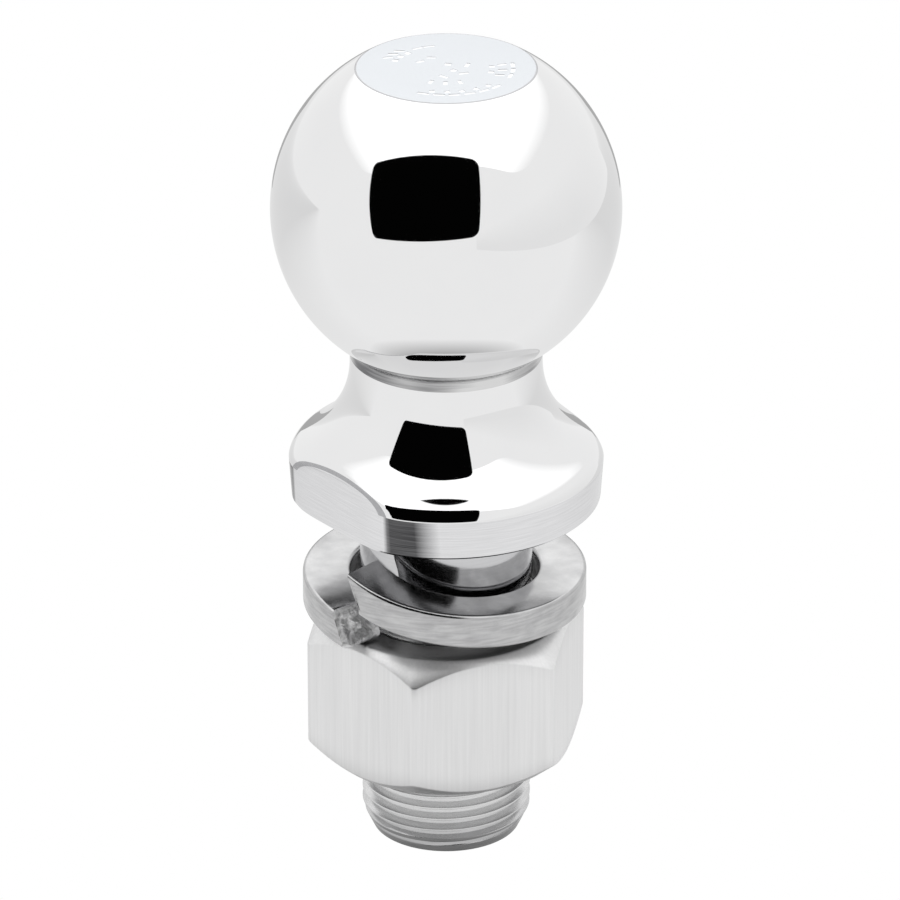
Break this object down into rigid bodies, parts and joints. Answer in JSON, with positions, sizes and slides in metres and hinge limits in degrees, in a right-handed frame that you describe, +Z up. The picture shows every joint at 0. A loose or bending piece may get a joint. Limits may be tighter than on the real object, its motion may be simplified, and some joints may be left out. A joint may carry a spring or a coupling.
{
  "type": "trailer hitch ball",
  "caption": "Polished tow ball on a flanged neck with a threaded shank, helical spring lock washer and hex nut; bolts through a drawbar and carries a ball coupler.",
  "frame": {"origin": "centre of the flange's underside, the face that sits on the drawbar", "axes": "+Z up along the shank's axis through the ball; the two wrench flats on the flange face -Y and +Y"},
  "size_m": [0.0508, 0.0508, 0.1213],
  "materials": {
    "chromed_steel": "mirror polished chrome plate",
    "zinc_washer": "bright zinc plate over cold formed wire, lightly scuffed",
    "zinc_nut": "bright zinc plate over upright drawn grain"
  },
  "bodies": {
    "stud": {"ball_stud": "chromed_steel"},
    "washer": {"lock_washer": "zinc_washer"},
    "nut": {"hex_nut": "zinc_nut"}
  },
  "joints": [
    {"name": "washer_slide", "type": "slide", "parent": "stud", "child": "washer", "axis": [0, 0, 1], "range_m": [-0.0336, 0.0046]},
    {"name": "nut_turn", "type": "hinge", "parent": "washer", "child": "nut", "pos_m": [0, 0, -0.02985], "axis": [0, 0, 1], "range_deg": [-6660, 864]}
  ],
  "couplings": [
    {"joint": "washer_slide", "follows": "nut_turn", "m_per_rad": 0.00028875}
  ]
}
